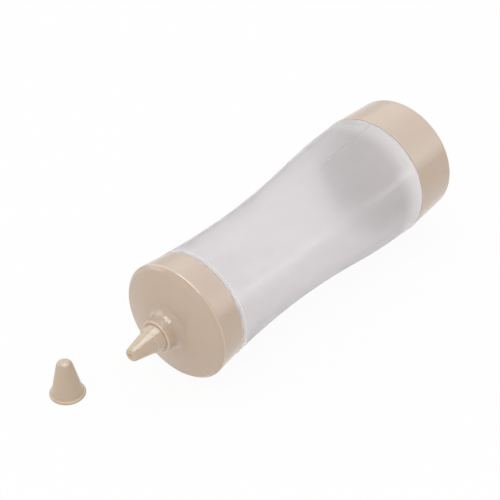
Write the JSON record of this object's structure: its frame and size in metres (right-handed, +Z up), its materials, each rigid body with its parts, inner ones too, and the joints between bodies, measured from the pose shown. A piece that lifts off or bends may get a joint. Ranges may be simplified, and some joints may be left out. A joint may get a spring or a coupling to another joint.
{
  "type": "condiment squeeze bottle",
  "caption": "Waisted frosted squeeze bottle with a screw cap at each end, a push-in cone nozzle and a loose nozzle cover.",
  "frame": {"origin": "on the floor, below the middle of the bounding box of the bottle lying on both caps and the cover beside it", "axes": "+Z up; +X from the nozzle towards the base cap, so the nozzle points to -X and dips by about 1.3 degrees; the cover stands on the +Y side"},
  "size_m": [0.2727, 0.0852, 0.0799],
  "materials": {
    "bottle_plastic": "frosted translucent polypropylene, blow moulded",
    "cap_plastic": "satin beige polypropylene, injection moulded",
    "nozzle_plastic": "slightly waxy beige polyethylene",
    "cover_plastic": "smooth beige polyethylene",
    "seal_silicone": "translucent white silicone"
  },
  "bodies": {
    "bottle": {"bottle_body": "bottle_plastic"},
    "nozzle_end_lift": {"nozzle_gasket": "seal_silicone"},
    "nozzle_end": {"nozzle_cap": "cap_plastic", "nozzle_tip": "nozzle_plastic"},
    "base_end_lift": {"base_gasket": "seal_silicone"},
    "base_end": {"base_cap": "cap_plastic"},
    "cover": {"nozzle_cover": "cover_plastic"}
  },
  "joints": [
    {"name": "nozzle_cap_lift", "type": "slide", "parent": "bottle", "child": "nozzle_end_lift", "axis": [-0.9997, 0, -0.023], "range_m": [0, 0.018]},
    {"name": "nozzle_cap_turn", "type": "hinge", "parent": "nozzle_end_lift", "child": "nozzle_end", "pos_m": [-0.07492, -0.00264, 0.03587], "axis": [-0.9997, 0, -0.023], "range_deg": [0, 1080]},
    {"name": "base_cap_lift", "type": "slide", "parent": "bottle", "child": "base_end_lift", "axis": [0.9997, 0, 0.023], "range_m": [0, 0.03]},
    {"name": "base_cap_turn", "type": "hinge", "parent": "base_end_lift", "child": "base_end", "pos_m": [0.13553, -0.00264, 0.0407], "axis": [0.9997, 0, 0.023], "range_deg": [0, 1800]},
    {"name": "cover_lift", "type": "slide", "parent": "bottle", "child": "cover", "axis": [0, 0, 1], "range_m": [0, 0.06]}
  ],
  "couplings": [
    {"joint": "nozzle_cap_lift", "follows": "nozzle_cap_turn", "m_per_rad": 0.00095492},
    {"joint": "base_cap_lift", "follows": "base_cap_turn", "m_per_rad": 0.00095492}
  ]
}
